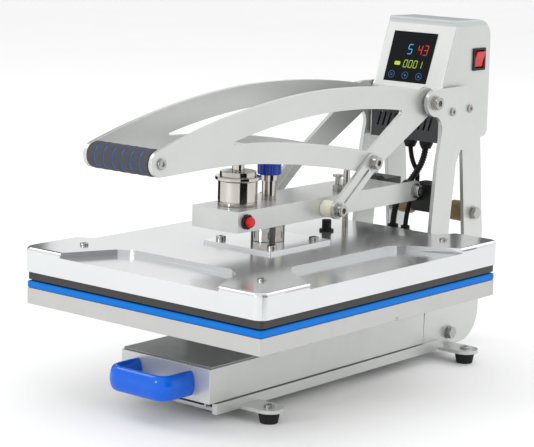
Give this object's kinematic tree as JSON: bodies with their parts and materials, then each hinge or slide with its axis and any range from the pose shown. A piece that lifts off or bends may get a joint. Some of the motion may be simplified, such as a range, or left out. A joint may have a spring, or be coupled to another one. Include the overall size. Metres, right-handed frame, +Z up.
{
  "type": "heat press",
  "caption": "Clamshell heat press with a slide-out lower platen, toggle handle, magnet latch, pressure knob and a control box on two uprights.",
  "frame": {"origin": "middle of the footprint on the floor", "axes": "+Z up, X across the press on its mirror plane, -Y towards the operator; the length from grip to control box lies along Y"},
  "size_m": [0.408, 0.7232, 0.4871],
  "materials": {
    "frame_paint": "fine-textured silver-grey powder coat",
    "cover_paint": "smooth silver metallic lacquer over pressed steel",
    "platen_paint": "satin silver paint on a cast aluminium plate",
    "heat_dark": "dark hard-anodised casting",
    "pad_blue": "smooth matt silicone sponge",
    "pull_blue": "glossy blue moulding",
    "knob_blue": "glossy dark blue moulding",
    "ring_blue": "blue rings",
    "chrome": "polished nickel-chrome plate",
    "zinc": "zinc-plated fasteners and rods",
    "mount_steel": "bright plated flat steel",
    "black_steel": "black satin paint",
    "slide_steel": "rolled zinc-plated steel",
    "nylon_white": "natural nylon",
    "nylon_tan": "oiled tan nylon",
    "rubber_black": "moulded black rubber",
    "foam_dark": "closed-cell foam sleeve",
    "vent_grey": "dark grey satin paint",
    "tray_grey": "dark grey satin paint",
    "lid_grey": "light grey moulding",
    "display_black": "glossy black display window",
    "black_plastic": "fine-grained black plastic",
    "red_plastic": "translucent red moulding",
    "wool": "ceramic wool blanket",
    "board_green": "solder-masked board"
  },
  "bodies": {
    "root": {"base_rails": "frame_paint", "base_channel": "frame_paint", "rubber_feet": "rubber_black", "foot_screws": "zinc", "slide_outer_rails": "slide_steel", "upright_right": "frame_paint", "upright_left": "frame_paint", "frame_screws": "zinc", "tie_bolts": "zinc", "rear_tie_shaft": "zinc", "nylon_rollers": "nylon_tan", "rear_cross_tube": "frame_paint", "hinge_brackets": "black_steel", "beam_pivot_bolts": "zinc", "handle_pivot_bolts": "zinc", "vent_panel": "vent_grey", "display_glass": "display_black", "control_case": "frame_paint", "control_lid": "lid_grey", "switch_bezel": "black_plastic", "power_inlet": "black_plastic", "control_electronics": "board_green", "case_glands": "black_plastic", "heater_conduit": "black_plastic", "sensor_cable": "rubber_black"},
    "drawer": {"drawer_box": "frame_paint", "drawer_top": "tray_grey", "slide_inner_rails": "slide_steel", "platen_pedestal": "frame_paint", "lower_platen": "platen_paint", "silicone_pad": "pad_blue", "drawer_pull": "pull_blue"},
    "beam": {"beam_channel": "frame_paint", "pillar": "chrome", "electromagnet": "chrome", "mount_plate": "mount_steel", "head_screws": "zinc", "head_cover": "cover_paint", "heat_platen": "heat_dark", "insulation_blanket": "wool", "guide_rod": "chrome", "beam_bolts": "zinc", "link_spacers": "nylon_white", "button_bezel": "black_plastic", "terminal_box": "black_plastic", "sensor_gland": "black_plastic"},
    "pressure_knob": {"pressure_knob": "knob_blue", "pressure_screw": "chrome"},
    "release_button": {"release_button": "red_plastic"},
    "power_rocker": {"power_rocker": "red_plastic"},
    "handle": {"handle_plate_right": "frame_paint", "handle_plate_left": "frame_paint", "grip_core": "zinc", "foam_grip": "foam_dark", "grip_rings": "ring_blue", "handle_screws": "zinc", "armature_bar": "frame_paint", "armature": "chrome"},
    "links": {"link_plates": "frame_paint", "link_upper_bolts": "zinc"}
  },
  "joints": [
    {"name": "head_lift", "type": "hinge", "parent": "root", "child": "beam", "pos_m": [0, 0.2111, 0.246], "axis": [-1, 0, 0], "range_deg": [0, 38], "deforming": ["heater_conduit", "sensor_cable"]},
    {"name": "handle_swing", "type": "hinge", "parent": "root", "child": "handle", "pos_m": [0, 0.2071, 0.375], "axis": [-1, 0, 0], "range_deg": [0, 64.3]},
    {"name": "link_swing", "type": "hinge", "parent": "beam", "child": "links", "pos_m": [0, 0.0011, 0.245], "axis": [-1, 0, 0], "range_deg": [-66.5, 0]},
    {"name": "drawer_slide", "type": "slide", "parent": "root", "child": "drawer", "axis": [0, -1, 0], "range_m": [0, 0.3]},
    {"name": "pressure_turn", "type": "hinge", "parent": "beam", "child": "pressure_knob", "pos_m": [0, -0.0699, 0.3], "axis": [0, 0, 1], "continuous": true},
    {"name": "release_press", "type": "slide", "parent": "beam", "child": "release_button", "axis": [-1, 0, 0], "range_m": [0, 0.003], "stiffness_N_per_m": 400, "springref_m": -0.002},
    {"name": "rocker_tilt", "type": "hinge", "parent": "root", "child": "power_rocker", "pos_m": [0.06, 0.3256, 0.4295], "axis": [0, -1, 0], "range_deg": [0, 12]}
  ],
  "couplings": [
    {"joint": "handle_swing", "follows": "head_lift", "ratio": 1.6785},
    {"joint": "link_swing", "follows": "head_lift", "ratio": -1.7375}
  ]
}
